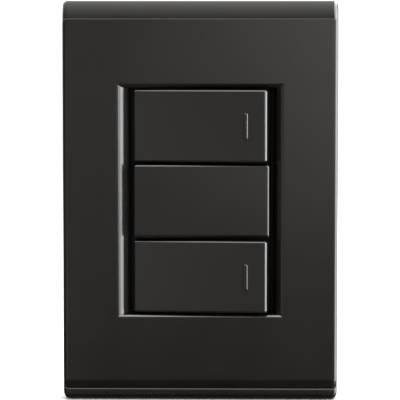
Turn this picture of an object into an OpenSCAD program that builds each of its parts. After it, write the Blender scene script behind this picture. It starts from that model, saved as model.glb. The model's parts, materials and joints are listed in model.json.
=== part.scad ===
// Wall plate with two rocker switches and a blank, on its support frame.
// The wall plane is y = 0, the front faces -Y, +X is right and +Z is up.
// The origin is the middle of the wall plane, between the two box screws.

/* [Cover plate] */
// Width of the cover plate
plate_w = 82; // [80:0.5:86]
// Height of the cover plate
plate_h = 119; // [117:0.5:122]
// Distance from the wall to the raised front panel
plate_d = 9.3; // [9:0.1:10]
// Wall thickness of the cover plate
plate_wall = 2; // [1.6:0.1:2.2]
// Height of the rolled band above the raised panel
top_band = 5.15; // [4.6:0.05:5.8]
// Height of the bead below the raised panel
bottom_band = 3.3; // [2.8:0.1:3.6]
// Step from the top band up to the raised panel
panel_step = 0.5; // [0.3:0.05:0.7]
// Height of the panel's foot, which rolls back to the bead
foot_h = 2.8; // [2.6:0.1:4]
// Radius along the long edges of the plate
side_r = 1.3; // [0.8:0.1:1.8]
// Radius of the plate's upper corners seen from the front
corner_r = 1.2; // [0.8:0.1:1.6]
// Radius of the plate's lower corners seen from the front
foot_corner_r = 1.9; // [1.6:0.1:2.4]

/* [Window] */
// Width of the window in the cover plate
window_w = 45; // [45:0.1:47]
// Height of the window's upper edge above the plate's middle
window_top = 33.75; // [33.75:0.05:34.2]
// Distance of the window's lower edge below the plate's middle
window_foot = 34; // [33.75:0.05:34.4]
// Radius of the window's lip on the left and right
lip_side_r = 2.5; // [2.3:0.1:3.4]
// Radius of the window's lip at the top
lip_top_r = 1.45; // [0.8:0.05:1.5]
// Radius of the window's lip at the bottom
lip_foot_r = 1; // [0.6:0.1:1.4]

/* [Modules] */
// Distance between the middles of neighbouring modules
pitch = 22.5; // [22.4:0.1:22.8]
// Width of a rocker key
key_w = 39.9; // [39:0.1:40]
// Height of a rocker key
key_h = 21.5; // [21:0.1:21.7]
// Distance from the wall to the middle of a key's front
key_front = 10.6; // [10.6:0.1:12.2]
// Tilt of a key to either side of its middle position
key_tilt = 4.5; // [3:0.5:4.5]
// Radius along the edges of a key's front
key_edge_r = 0.7; // [0.4:0.1:1]
// Height of the blank module's front
blank_h = 21.8; // [21:0.1:21.8]
// Width of the blank module's front
blank_w = 40.4; // [40:0.1:40.6]
// Distance from the wall to the blank module's front
blank_front = 10.2; // [10.2:0.1:12]
// How far the fronts of the modules stand to the right of their middle
front_shift = 0.5; // [0:0.1:0.5]
// Width of the raised bar on a key
mark_w = 1.4; // [1:0.1:1.8]
// Height of the raised bar on a key
mark_h = 7.8; // [6:0.1:9]
// Distance from a key's middle to the middle of its bar
mark_x = 13.5; // [12:0.1:15]

/* [Support frame] */
// Width of the support frame
frame_w = 66; // [64:0.5:70]
// Height of the support frame
frame_h = 104; // [102:0.5:106]
// Thickness of the support frame's flat
frame_t = 2.2; // [2:0.1:2.4]
// Distance between the two box screws
screw_spacing = 83.3; // [83:0.1:84]
// Length of a box screw's free thread behind the wall plane
screw_free = 22; // [16:1:30]
// Radius of a box screw's thread
screw_r = 1.75; // [1.7:0.05:1.8]

/* [Switch] */
// Distance from the wall plane to the rear of a switch
switch_rear = 24; // [24:0.5:28]
// Radius of a terminal's wire hole
wire_r = 1.6; // [1.3:0.1:1.7]
// Tilt of the contact blade to either side of its middle position
blade_tilt = 8; // [6:0.5:8]
// Turns of the spring behind the plunger
spring_turns = 6; // [5:1:8]

/* [Hidden] */
$fn = 64;

// Fits
running = 0.05; // radial clearance of a pin in its bore
loose = 0.3; // gap between pieces that pass each other
nest = 0.1; // gap between pieces that are pushed together
bite = 0.2; // overlap of two shapes joined into one piece
past = 1; // how far a cut runs out of the material

// Cover plate
panel_top = plate_h / 2 - top_band;
panel_bottom = -plate_h / 2 + bottom_band;
panel_edge_r = 0.4;
band_d = plate_d - panel_step; // depth of the top band where it meets the panel
band_start = 12; // lean of the top band's surface at the panel, in degrees
band_end = 58; // lean of the top band's surface at the plate's edge, in degrees
foot_drop = 0.8; // how far the panel's foot falls back
foot_arc_r = (pow(foot_h, 2) + pow(foot_drop, 2)) / (2 * foot_drop);
bead_d = plate_d - 0.45; // depth of the bead
bead_upper_r = 0.6;
bead_lower_r = 1.5;
skin_d = plate_d - plate_wall; // depth of the front skin's inner face
edge_skin_d = 4.6; // the same behind the band and the bead, which lie lower
edge_skin_in = 5.5; // the deep hollow ends this far inside the plate's edge
lip_wall = 1.8;
lip_side_lean = 20; // draft of the window's side walls, in degrees
lip_end_lean = 3; // draft of the window's end walls, in degrees
lip_d = 5.2; // depth of the rear edge of the window's wall

// Pegs that hold the cover plate on the frame
peg_x = 28.5;
peg_z = [-40, 0, 40];
peg_t = 1.6;
peg_w = 6;
peg_end = 0.4; // distance of the peg's end from the wall
peg_taper = 0.5;

// Module seat in the support frame
body_w = 38.4;
body_h = 21.4;
body_wall = 1.3;
flange_w = 41.6;
flange_h = pitch - nest;
flange_t = 1.4;
deck_d = frame_t + flange_t; // depth of a module flange's front
frame_window_w = body_w + 2 * loose;
frame_window_h = 2 * pitch + body_h + 2 * loose;
rim_gap = 0.3;
rim_t = 1.4;
rim_d = deck_d + 1;
rim_w = flange_w + 2 * rim_gap;
rim_h = 2 * pitch + flange_h + 2 * rim_gap;
rail_t = 1.2; // thickness of the frame beside its window, where modules clip
rail_w = 2.1;
frame_corner_r = 5;
frame_rib_t = 1.4;
frame_rib_d = 4.2;
pocket_d = 1; // depth of the hollows in the frame's rear face
pocket_rib = 1.2; // rib between neighbouring hollows
side_pocket = [23.2, 31.4, 5.5, 34.7]; // span of a column of hollows: x from, x to, z from, z to
end_pocket = [7, 25.2, 37.6, 49.6]; // the same for a row above or below the window

// Box screws
head_r = 3.4;
head_t = 2.2;
head_chamfer = 0.7;
neck_r = 2; // plain neck in the frame's slot
slot_r = 2.2;
slot_len = 9;
recess_w = 0.9;
recess_len = 4.4;
recess_d = 1.2;
tip_len = 1;

// Clips on the sides of each module
clip_w = 8;
clip_out = 1.2;
clip_len = 2.6;

// Key and its bearing
hinge_d = 5.2; // depth of the key's pivot in front of the wall
pin_r = 1.4;
ear_r = 2.7;
ear_z0 = 7.85;
ear_t = 1.2;
web_r = 2.6;
web_t = 0.95;
web_z1 = ear_z0 - loose;
key_wall = 1.4;
key_skin = 1.6;
key_rear = 5.6; // depth of the key's rear edge
mark_out = 0.45;
mark_edge_r = 0.3;
deck_hole_w = 13;
key_plan_r = 0.8; // radius of a key's corners seen from the front

// Plunger in the key's tube
plunger_r = 2;
tube_r = 3;
tube_end = -4.7;
tube_floor = 8.8; // depth of the blind end of the tube
plunger_back = 1;
blade_d = -7.6; // depth of the blade's pivot, behind the wall plane
blade_t = 0.6;
tip_gap = 0.2; // gap of the plunger to the level blade
plunger_tip = blade_d + blade_t / 2 + tip_gap;

// Spring behind the plunger
spring_r = 1.4;
wire_t = 0.45;
spring_gap = 0.05;
rings_per_turn = 8;
wire_sides = 6;
spring_d0 = plunger_back + spring_gap + wire_t / 2;
spring_d1 = tube_floor - spring_gap - wire_t / 2;

// Contact blade and tips
blade_w = 4.8;
blade_left = 11.6;
blade_right = 8;
trunnion_r = 0.6;
trunnion_out = 3.9;
contact_x = 10;
contact_r = 1.5;
contact_t = 0.9;
contact_dome_r = 3.2;
contact_gap = 0.15; // gap of the closed contacts

// Terminals
cradle_z0 = 3; // inner face of a cradle ear, from the switch's middle
cradle_z1 = 4; // outer face of a cradle ear
cradle_w = 4.4;
strip_t = 1;
strip_end = 3;
block_x0 = 9.5;
block_x1 = 16.5;
block_h = 7;
wire_x = 12;
wire_len = 8;
common_y = 12.3;
load_y = 11.4;
load_arm_end = 7.8;
contact_drop = contact_x * sin(blade_tilt);
contact_reach = (blade_t / 2 + contact_t) * cos(blade_tilt);
fixed_y = -blade_d + contact_drop + contact_reach + contact_gap;

// Terminal screws
clamp_r = 1.45;
clamp_tip = 13.9;
clamp_head_x = 16.7;
clamp_head_r = 2.6;
clamp_head_t = 1.9;
clamp_slot_w = 0.8;
clamp_slot_d = 0.9;
clamp_hole_r = 3;
clamp_y = 18;

// Base of a switch
split_y = 8;
base_wall = 2.4;
base_floor = 1.5;
tongue_len = 1.4;
floor_y = switch_rear - base_floor;
wire_mouth_r = 2;
funnel_r = 3; // wide end of the funnel that leads a wire in
funnel_d = 1;
collar_r = 4.2; // raised ring around a funnel
rear_step = 0.6; // how far the rear face lies below its collars and pad
pad_w = 9;
pad_h = 13;
groove_w = 1.2; // strip length gauge in the pad
groove_len = 10;
groove_d = 0.4;
base_corner_r = 1;
seam = 0.4; // open line around the base where it meets the housing
dish_r = 3.9; // shallow dish around a screwdriver hole
dish_d = 0.6;
core_x = [3, 15.5]; // hollows in the base's upper and lower walls
core_y = [11, 20.5];
core_d = 0.7;

// Hooks that snap the base into windows of the housing
hook_x = 10;
hook_w = 5;
hook_out = 0.9;
hook_y0 = split_y - tongue_len;
hook_y1 = split_y - tongue_len / 2;

// Colours
satin_black = [0.15, 0.148, 0.142];
frame_black = [0.08, 0.08, 0.08];
body_grey = [0.17, 0.17, 0.175];
base_grey = [0.55, 0.56, 0.56];
brass = [0.78, 0.62, 0.33];
blade_copper = [0.76, 0.5, 0.36];
silver = [0.86, 0.86, 0.84];
zinc = [0.72, 0.73, 0.74];
spring_steel = [0.6, 0.61, 0.63];
pin_white = [0.88, 0.87, 0.84];

// Box between two corners
module block(x0, x1, y0, y1, z0, z1) {
    translate([x0, y0, z0]) cube([x1 - x0, y1 - y0, z1 - z0]);
}

// Rectangle about the origin with round corners
module round_rect(w, h, r) {
    square([w - 2 * r, h], center = true);
    square([w, h - 2 * r], center = true);
    for (x = [-1, 1], y = [-1, 1])
        translate([x * (w / 2 - r), y * (h / 2 - r)]) circle(r);
}

// Prism along X from a profile that has Y across and Z up
module along_x(length) {
    rotate([90, 0, 90]) linear_extrude(length, center = true) children();
}

// Prism from y0 to y1 from a profile seen from the front
module along_y(y0, y1) {
    translate([0, y1, 0]) rotate([90, 0, 0]) linear_extrude(y1 - y0) children();
}

// Prism along Z from a profile that has X across and Y up
module along_z(length) {
    linear_extrude(length, center = true) children();
}

// Round bar along Y
module rod_y(r, y0, y1) {
    translate([0, y1, 0]) rotate([90, 0, 0]) cylinder(r = r, h = y1 - y0);
}

// Block with round front edges and corners, from depth d to depth d_rear
module soft_block(w, h, d, d_rear, edge_r, plan_r) {
    intersection() {
        along_x(w) round_rect(2 * d, h, edge_r);
        along_z(h) round_rect(w, 2 * d, edge_r);
        along_y(-d, -d_rear) round_rect(w, h, plan_r);
    }
}

// Turns a key and what it carries to the rest position, right end out
module at_rest(z0) {
    translate([0, -hinge_d, z0]) rotate([0, 0, -key_tilt])
        translate([0, hinge_d, 0]) children();
}

// Turns a blade and what it carries to the rest position, contacts open
module blade_at_rest(z0) {
    translate([0, -blade_d, z0]) rotate([0, 0, blade_tilt]) children();
}

// Rolled band above the panel, in the plate's side profile
module top_band_profile() {
    edge = plate_h / 2;
    r = top_band / (sin(band_end) - sin(band_start));
    centre_y = -band_d + r * cos(band_start);
    intersection() {
        union() {
            translate([centre_y, panel_top - r * sin(band_start)]) circle(r);
            translate([centre_y, 0]) square([plate_d, edge]);
        }
        translate([-plate_d, 0]) square([plate_d, edge]);
    }
}

// Bead below the panel, in the plate's side profile
module bead_profile() {
    edge = -plate_h / 2;
    bead_h = panel_bottom - edge;
    translate([-bead_d + bead_upper_r, panel_bottom - bead_upper_r]) circle(bead_upper_r);
    translate([-bead_d + bead_lower_r, edge + bead_lower_r]) circle(bead_lower_r);
    translate([-bead_d, edge + bead_lower_r])
        square([bead_d, bead_h - bead_lower_r - bead_upper_r]);
    translate([-bead_d + bead_upper_r, edge + bead_lower_r])
        square([bead_d - bead_upper_r, bead_h - bead_lower_r]);
    translate([-bead_d + bead_lower_r, edge])
        square([bead_d - bead_lower_r, bead_h]);
}

// Raised panel with its rolled foot, in the plate's side profile
module panel_profile() {
    flat_bottom = panel_bottom + foot_h;
    intersection() {
        translate([0, panel_top - plate_h / 2]) round_rect(2 * plate_d, plate_h, panel_edge_r);
        translate([-plate_d, flat_bottom]) square([plate_d, plate_h]);
    }
    intersection() {
        translate([-plate_d + foot_arc_r, flat_bottom]) circle(foot_arc_r);
        translate([-plate_d, panel_bottom]) square([plate_d, foot_h]);
    }
}

// Front outline of the plate, rounder at its lower corners
module plate_outline() {
    intersection() {
        round_rect(plate_w, plate_h, corner_r);
        union() {
            translate([0, foot_corner_r]) square([plate_w, plate_h], center = true);
            square([plate_w - 2 * foot_corner_r, plate_h], center = true);
            for (side = [-1, 1])
                translate([side * (plate_w / 2 - foot_corner_r), -plate_h / 2 + foot_corner_r])
                    circle(foot_corner_r);
        }
    }
}

// Half section of the window's cutter: a rolled lip, then a wall that draws in
module lip_profile(edge, r, lean) {
    centre = edge + r;
    wall_x = centre - r * cos(lean);
    wall_y = -plate_d + r - r * sin(lean);
    rear_x = wall_x - (past - wall_y) * tan(lean);
    difference() {
        polygon([
            [-past, -plate_d - past],
            [centre, -plate_d - past],
            [centre, wall_y],
            [wall_x, wall_y],
            [rear_x, past],
            [-past, past]
        ]);
        translate([centre, -plate_d + r]) circle(r);
    }
}

// Window of the plate, with a rolled lip on all four sides
module window_cut() {
    intersection() {
        along_z(plate_h) for (side = [0, 1]) mirror([side, 0])
            lip_profile(window_w / 2, lip_side_r, lip_side_lean);
        along_x(plate_w) rotate(90) mirror([0, 1]) {
            lip_profile(window_top, lip_top_r, lip_end_lean);
            mirror([1, 0]) lip_profile(window_foot, lip_foot_r, lip_end_lean);
        }
    }
}

// Peg that pushes into a slot of the support frame
module peg() {
    translate([0, -skin_d - bite, 0]) along_z(peg_w) polygon([
        [-peg_t / 2, 0],
        [peg_t / 2, 0],
        [peg_t / 2, skin_d + bite - frame_t],
        [peg_taper / 2, skin_d + bite - peg_end],
        [-peg_taper / 2, skin_d + bite - peg_end],
        [-peg_t / 2, skin_d + bite - frame_t]
    ]);
}

module cover_plate() color(satin_black) {
    inner_w = plate_w - 2 * plate_wall;
    inner_h = plate_h - 2 * plate_wall;
    deep_h = plate_h - 2 * edge_skin_in;
    difference() {
        union() {
            difference() {
                intersection() {
                    along_x(plate_w) {
                        panel_profile();
                        top_band_profile();
                        bead_profile();
                    }
                    along_z(plate_h) round_rect(plate_w, 2 * plate_d, side_r);
                    along_y(-plate_d, 0) plate_outline();
                }
                along_y(-skin_d, past) square([inner_w, deep_h], center = true);
                along_y(-edge_skin_d, past) square([inner_w, inner_h], center = true);
            }
            along_y(-skin_d - bite, -lip_d)
                translate([-window_w / 2 - lip_wall, -window_foot - lip_wall])
                    square([window_w + 2 * lip_wall, window_top + window_foot + 2 * lip_wall]);
        }
        window_cut();
    }
    for (side = [-1, 1], z = peg_z) translate([side * peg_x, 0, z]) peg();
}

// Slot with round ends for a box screw
module screw_slot() {
    square([slot_len - 2 * slot_r, 2 * slot_r], center = true);
    for (side = [-1, 1]) translate([side * (slot_len / 2 - slot_r), 0]) circle(slot_r);
}

// Hollows in one quarter of the frame's rear face
module frame_pockets() {
    side_h = (side_pocket[3] - side_pocket[2] - pocket_rib) / 2;
    end_w = (end_pocket[1] - end_pocket[0] - pocket_rib) / 2;
    for (i = [0, 1]) {
        along_y(-pocket_d, past)
            translate([side_pocket[0], side_pocket[2] + i * (side_h + pocket_rib)])
                square([side_pocket[1] - side_pocket[0], side_h]);
        along_y(-pocket_d, past)
            translate([end_pocket[0] + i * (end_w + pocket_rib), end_pocket[2]])
                square([end_w, end_pocket[3] - end_pocket[2]]);
    }
}

module support_frame() color(frame_black) {
    difference() {
        union() {
            along_y(-frame_t, 0) round_rect(frame_w, frame_h, frame_corner_r);
            along_y(-rim_d, -frame_t + bite)
                square([rim_w + 2 * rim_t, rim_h + 2 * rim_t], center = true);
            along_y(-frame_rib_d, -frame_t + bite) difference() {
                round_rect(frame_w, frame_h, frame_corner_r);
                round_rect(frame_w - 2 * frame_rib_t, frame_h - 2 * frame_rib_t,
                    frame_corner_r - frame_rib_t);
            }
        }
        along_y(-rim_d - past, -frame_t) square([rim_w, rim_h], center = true);
        along_y(-rim_d, past) square([frame_window_w, frame_window_h], center = true);
        along_y(-frame_t + rail_t, past)
            square([frame_window_w + 2 * rail_w, frame_window_h], center = true);
        for (side = [-1, 1]) translate([0, 0, side * screw_spacing / 2])
            along_y(-frame_t - past, past) screw_slot();
        for (side = [-1, 1], z = peg_z) translate([side * peg_x, 0, z])
            along_y(-frame_t - past, past)
                square([peg_t + 2 * loose, peg_w + 2 * loose], center = true);
        for (x = [0, 1], z = [0, 1]) mirror([x, 0, 0]) mirror([0, 0, z]) frame_pockets();
    }
}

module box_screw() {
    difference() {
        union() {
            rod_y(head_r, -frame_t - head_t + head_chamfer, -frame_t);
            translate([0, -frame_t - head_t, 0]) rotate([-90, 0, 0])
                cylinder(r1 = head_r - head_chamfer, r2 = head_r, h = head_chamfer);
            rod_y(neck_r, -frame_t - bite, 0);
            rod_y(screw_r, -bite, screw_free - tip_len);
            translate([0, screw_free - tip_len, 0]) rotate([-90, 0, 0])
                cylinder(r1 = screw_r, r2 = screw_r - tip_len / 2, h = tip_len);
        }
        for (turn = [0, 90]) rotate([0, turn, 0])
            along_y(-frame_t - head_t - past, -frame_t - head_t + recess_d)
                square([recess_len, recess_w], center = true);
    }
}

module box_screws() color(zinc) {
    for (side = [-1, 1]) translate([0, 0, side * screw_spacing / 2]) box_screw();
}

// Wedge clips on both sides of a module, behind the frame's rails
module clips() {
    clip_y = -frame_t + rail_t + nest;
    for (side = [0, 1]) mirror([side, 0, 0]) along_z(clip_w) polygon([
        [body_w / 2 - bite, clip_y],
        [body_w / 2 + clip_out, clip_y],
        [body_w / 2, clip_y + clip_len],
        [body_w / 2 - bite, clip_y + clip_len]
    ]);
}

// Flange and walled body of a module, back to y_end
module module_shell(y_end) {
    difference() {
        union() {
            along_y(-deck_d, -frame_t) square([flange_w, flange_h], center = true);
            along_y(-frame_t - bite, y_end) square([body_w, body_h], center = true);
            clips();
        }
        along_y(-frame_t, y_end + past)
            square([body_w - 2 * body_wall, body_h - 2 * body_wall], center = true);
    }
}

module blank_insert() color(satin_black) {
    blank_end = 4;
    hollow_w = body_w - 2 * body_wall;
    hollow_h = body_h - 2 * body_wall;
    difference() {
        union() {
            module_shell(blank_end);
            translate([front_shift, 0, 0])
                soft_block(blank_w, blank_h, blank_front, deck_d - bite, key_edge_r, key_plan_r);
        }
        along_y(-blank_front + key_skin, blank_end) square([hollow_w, hollow_h], center = true);
    }
}

// Key in its middle position, about the module's own middle
module key_body() {
    inner_w = key_w - 2 * key_wall;
    inner_h = key_h - 2 * key_wall;
    difference() {
        union() {
            translate([front_shift, 0, 0]) difference() {
                soft_block(key_w, key_h, key_front, key_rear, key_edge_r, key_plan_r);
                along_y(-key_front + key_skin, past) square([inner_w, inner_h], center = true);
            }
            rod_y(tube_r, -key_front + key_skin - bite, -tube_end);
            for (side = [-1, 1]) {
                translate([0, 0, side * (web_z1 - web_t / 2)]) along_z(web_t) {
                    translate([0, -hinge_d]) circle(web_r);
                    translate([-web_r, -key_front + key_skin - bite])
                        square([2 * web_r, key_front - key_skin + bite - hinge_d]);
                }
                translate([0, -hinge_d, side * (web_z1 - bite + (ear_t + loose) / 2)])
                    cylinder(r = pin_r, h = ear_t + loose, center = true);
            }
            translate([mark_x + front_shift, 0, 0])
                along_y(-key_front - mark_out, -key_front + bite)
                    round_rect(mark_w, mark_h, mark_edge_r);
        }
        rod_y(plunger_r + running, -tube_floor, -tube_end + past);
    }
}

module key(z0) color(satin_black) at_rest(z0) key_body();

module housing(z0) color(body_grey) translate([0, 0, z0]) difference() {
    union() {
        module_shell(split_y);
        for (side = [-1, 1]) translate([0, 0, side * (ear_z0 + ear_t / 2)]) along_z(ear_t) {
            translate([0, -hinge_d]) circle(ear_r);
            translate([-ear_r, -hinge_d]) square([2 * ear_r, hinge_d - deck_d + bite]);
        }
    }
    along_y(-deck_d - past, past) square([deck_hole_w, 2 * ear_z0], center = true);
    translate([0, -hinge_d, 0]) cylinder(r = pin_r + running, h = flange_h, center = true);
    for (side = [-1, 1]) translate([side * hook_x, 0, 0])
        block(-hook_w / 2 - loose, hook_w / 2 + loose, hook_y0 - loose, hook_y1 + nest,
            -body_h / 2 - past, body_h / 2 + past);
}

// Hooks on the upper side of the base's tongue, whose edge is at height z1
module hooks(z1) {
    for (side = [-1, 1]) translate([side * hook_x, 0, 0]) along_x(hook_w) polygon([
        [hook_y0, z1 - bite],
        [hook_y1, z1 - bite],
        [hook_y1, z1 + hook_out],
        [hook_y0, z1]
    ]);
}

module base(z0) color(base_grey) translate([0, 0, z0]) difference() {
    inner_w = body_w - 2 * base_wall;
    inner_h = body_h - 2 * base_wall;
    tongue_w = body_w - 2 * body_wall - 2 * nest;
    tongue_h = body_h - 2 * body_wall - 2 * nest;
    rear_y = switch_rear - rear_step;
    union() {
        along_y(split_y + seam, rear_y) round_rect(body_w, body_h, base_corner_r);
        along_y(split_y, split_y + seam + bite)
            round_rect(body_w - 2 * seam, body_h - 2 * seam, base_corner_r);
        along_y(split_y - tongue_len, split_y + bite) square([tongue_w, tongue_h], center = true);
        for (side = [0, 1]) mirror([0, 0, side]) hooks(tongue_h / 2);
        along_y(rear_y - bite, switch_rear) round_rect(pad_w, pad_h, base_corner_r);
        for (side = [-1, 1]) translate([side * wire_x, 0, 0])
            rod_y(collar_r, rear_y - bite, switch_rear);
    }
    along_y(split_y - tongue_len - past, floor_y) square([inner_w, inner_h], center = true);
    along_y(switch_rear - groove_d, switch_rear + past)
        square([groove_w, groove_len], center = true);
    for (side = [-1, 1]) {
        translate([side * wire_x, 0, 0]) {
            rod_y(wire_mouth_r, floor_y - past, switch_rear + past);
            translate([0, switch_rear - funnel_d, 0]) rotate([-90, 0, 0])
                cylinder(r1 = wire_mouth_r, r2 = 2 * funnel_r - wire_mouth_r, h = 2 * funnel_d);
        }
        translate([side * body_w / 2, clamp_y, 0]) rotate([0, 90, 0]) {
            cylinder(r = clamp_hole_r, h = 2 * (base_wall + past), center = true);
            cylinder(r = dish_r, h = 2 * dish_d, center = true);
        }
    }
    for (x = [0, 1], z = [0, 1]) mirror([x, 0, 0]) mirror([0, 0, z])
        block(core_x[0], core_x[1], core_y[0], core_y[1], body_h / 2 - core_d, body_h / 2 + past);
}

// Clamp block on the +X side, with its wire hole and its threaded hole
module clamp_block(y_front) {
    difference() {
        block(block_x0, block_x1, y_front, floor_y, -block_h / 2, block_h / 2);
        translate([wire_x, 0, 0]) rod_y(wire_r, floor_y - wire_len, floor_y + past);
        translate([wire_x, clamp_y, 0]) rotate([0, 90, 0])
            cylinder(r = clamp_r + running, h = block_x1 - wire_x + past);
    }
}

module common_terminal(z0) color(brass) translate([0, 0, z0]) {
    clamp_block(common_y);
    block(-strip_end, block_x0 + bite, common_y, common_y + strip_t, -cradle_z1, cradle_z1);
    for (side = [-1, 1]) translate([0, 0, side * (cradle_z0 + cradle_z1) / 2])
        along_z(cradle_z1 - cradle_z0) difference() {
            translate([-cradle_w / 2, -blade_d - trunnion_r])
                square([cradle_w, common_y + bite + blade_d + trunnion_r]);
            translate([0, -blade_d]) circle(trunnion_r + running);
            translate([-trunnion_r - running, -blade_d - past])
                square([2 * (trunnion_r + running), past]);
        }
}

module load_terminal(z0) color(brass) translate([0, 0, z0]) mirror([1, 0, 0]) {
    clamp_block(load_y + strip_t - bite);
    block(load_arm_end, block_x1, load_y, load_y + strip_t, -block_h / 2, block_h / 2);
}

module fixed_contact(z0) color(silver) {
    translate([-contact_x, 0, z0]) rod_y(contact_r, fixed_y, load_y);
}

module contact_blade(z0) color(blade_copper) blade_at_rest(z0) {
    block(-blade_left, blade_right, -blade_t / 2, blade_t / 2, -blade_w / 2, blade_w / 2);
    trunnion_z0 = blade_w / 2 - bite;
    for (side = [-1, 1]) translate([0, 0, side * (trunnion_z0 + trunnion_out) / 2])
        cylinder(r = trunnion_r, h = trunnion_out - trunnion_z0, center = true);
}

module moving_contact(z0) color(silver) blade_at_rest(z0) translate([-contact_x, 0, 0])
    intersection() {
        rod_y(contact_r, blade_t / 2, blade_t / 2 + contact_t);
        translate([0, blade_t / 2 + contact_t - contact_dome_r, 0]) sphere(contact_dome_r);
    }

module plunger(z0) color(pin_white) at_rest(z0) {
    rod_y(plunger_r, -plunger_back, -plunger_tip - plunger_r);
    translate([0, -plunger_tip - plunger_r, 0]) sphere(plunger_r);
}

// Helix points of the spring, ring by ring along its wire
spring_rings = spring_turns * rings_per_turn;
function spring_turn(i) = 360 * i / rings_per_turn;
function spring_y(i) = -spring_d1 + (spring_d1 - spring_d0) * i / spring_rings;
function spring_centre(i) =
    [spring_r * cos(spring_turn(i)), spring_y(i), spring_r * sin(spring_turn(i))];
function ring_point(i, k) =
    let (
        lean = 360 * k / wire_sides,
        out = spring_r + wire_t / 2 * cos(lean)
    )
    [out * cos(spring_turn(i)), spring_y(i) + wire_t / 2 * sin(lean), out * sin(spring_turn(i))];
spring_points = [
    for (i = [0:spring_rings], k = [0:wire_sides - 1]) ring_point(i, k)
];
function ring_index(i, k) = i * wire_sides + k % wire_sides;
spring_faces = concat(
    [for (i = [0:spring_rings - 1], k = [0:wire_sides - 1])
        [ring_index(i, k), ring_index(i, k + 1), ring_index(i + 1, k + 1)]],
    [for (i = [0:spring_rings - 1], k = [0:wire_sides - 1])
        [ring_index(i, k), ring_index(i + 1, k + 1), ring_index(i + 1, k)]],
    [for (k = [1:wire_sides - 2])
        [ring_index(0, 0), ring_index(0, k + 1), ring_index(0, k)]],
    [for (k = [1:wire_sides - 2])
        [ring_index(spring_rings, 0), ring_index(spring_rings, k), ring_index(spring_rings, k + 1)]]
);
spring_least_gap = min([
    for (i = [0:spring_rings], j = [0:spring_rings])
        if (j - i > rings_per_turn / 2) norm(spring_centre(i) - spring_centre(j)) - wire_t
]);
echo(spring_least_gap = spring_least_gap);

module plunger_spring(z0) color(spring_steel) at_rest(z0)
    polyhedron(spring_points, spring_faces, convexity = 10);

module clamp_screw() {
    difference() {
        union() {
            translate([clamp_tip, 0, 0]) rotate([0, 90, 0])
                cylinder(r = clamp_r, h = clamp_head_x - clamp_tip + bite);
            translate([clamp_head_x, 0, 0]) rotate([0, 90, 0])
                cylinder(r = clamp_head_r, h = clamp_head_t);
        }
        block(clamp_head_x + clamp_head_t - clamp_slot_d, clamp_head_x + clamp_head_t + past,
            -clamp_slot_w / 2, clamp_slot_w / 2, -clamp_head_r - past, clamp_head_r + past);
    }
}

module terminal_screws(z0) color(zinc) translate([0, clamp_y, z0]) {
    for (side = [0, 1]) mirror([side, 0, 0]) clamp_screw();
}

cover_plate();
support_frame();
box_screws();
blank_insert();
key(pitch);  // upper_key
housing(pitch);  // upper_housing
base(pitch);  // upper_base
common_terminal(pitch);  // upper_common_terminal
load_terminal(pitch);  // upper_load_terminal
fixed_contact(pitch);  // upper_fixed_contact
contact_blade(pitch);  // upper_contact_blade
moving_contact(pitch);  // upper_moving_contact
plunger(pitch);  // upper_plunger
plunger_spring(pitch);  // upper_plunger_spring
terminal_screws(pitch);  // upper_terminal_screws
key(-pitch);  // lower_key
housing(-pitch);  // lower_housing
base(-pitch);  // lower_base
common_terminal(-pitch);  // lower_common_terminal
load_terminal(-pitch);  // lower_load_terminal
fixed_contact(-pitch);  // lower_fixed_contact
contact_blade(-pitch);  // lower_contact_blade
moving_contact(-pitch);  // lower_moving_contact
plunger(-pitch);  // lower_plunger
plunger_spring(-pitch);  // lower_plunger_spring
terminal_screws(-pitch);  // lower_terminal_screws
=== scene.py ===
import json
from math import acos, asin, atan2, cos, degrees, pi, radians, sin, sqrt, tan

import bmesh
import bpy
from mathutils import Matrix, Vector


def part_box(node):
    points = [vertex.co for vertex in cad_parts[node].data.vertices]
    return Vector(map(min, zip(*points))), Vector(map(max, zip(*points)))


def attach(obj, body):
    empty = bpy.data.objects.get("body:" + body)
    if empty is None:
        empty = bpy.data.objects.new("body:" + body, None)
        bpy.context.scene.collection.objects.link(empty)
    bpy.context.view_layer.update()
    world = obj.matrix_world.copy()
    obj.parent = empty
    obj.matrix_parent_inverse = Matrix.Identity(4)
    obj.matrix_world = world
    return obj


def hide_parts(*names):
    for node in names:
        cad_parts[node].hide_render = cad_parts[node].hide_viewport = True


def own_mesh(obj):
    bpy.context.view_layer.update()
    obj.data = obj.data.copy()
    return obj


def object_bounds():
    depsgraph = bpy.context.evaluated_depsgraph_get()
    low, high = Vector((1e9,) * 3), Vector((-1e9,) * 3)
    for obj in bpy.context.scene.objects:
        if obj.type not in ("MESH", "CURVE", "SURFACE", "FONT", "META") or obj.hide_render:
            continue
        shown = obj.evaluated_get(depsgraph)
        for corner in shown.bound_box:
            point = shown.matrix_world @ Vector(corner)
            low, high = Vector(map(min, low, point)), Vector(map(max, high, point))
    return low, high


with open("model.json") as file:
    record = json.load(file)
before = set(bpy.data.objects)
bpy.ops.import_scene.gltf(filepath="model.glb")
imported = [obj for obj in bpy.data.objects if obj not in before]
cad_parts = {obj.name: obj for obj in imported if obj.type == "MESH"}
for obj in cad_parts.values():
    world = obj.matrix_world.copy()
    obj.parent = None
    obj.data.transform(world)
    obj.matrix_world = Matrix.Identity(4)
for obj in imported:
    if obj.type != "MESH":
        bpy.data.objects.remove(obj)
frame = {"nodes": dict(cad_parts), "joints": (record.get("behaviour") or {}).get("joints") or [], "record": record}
cadLow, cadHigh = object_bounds()
mm = 0.001
near = 1e-4  # points closer than this are in one place
corner = 0.9  # an edge that turns by more than this, in radians, is a corner
joints = {joint["name"]: joint for joint in frame["joints"]}
switches = ("upper", "lower")
print("frame loaded:", len(frame["nodes"]), "nodes")


# mesh helpers
def lineTo(bm, vert, point):
    made = bmesh.ops.extrude_vert_indiv(bm, verts=[vert])["verts"][0]
    made.co = point
    return made


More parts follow.
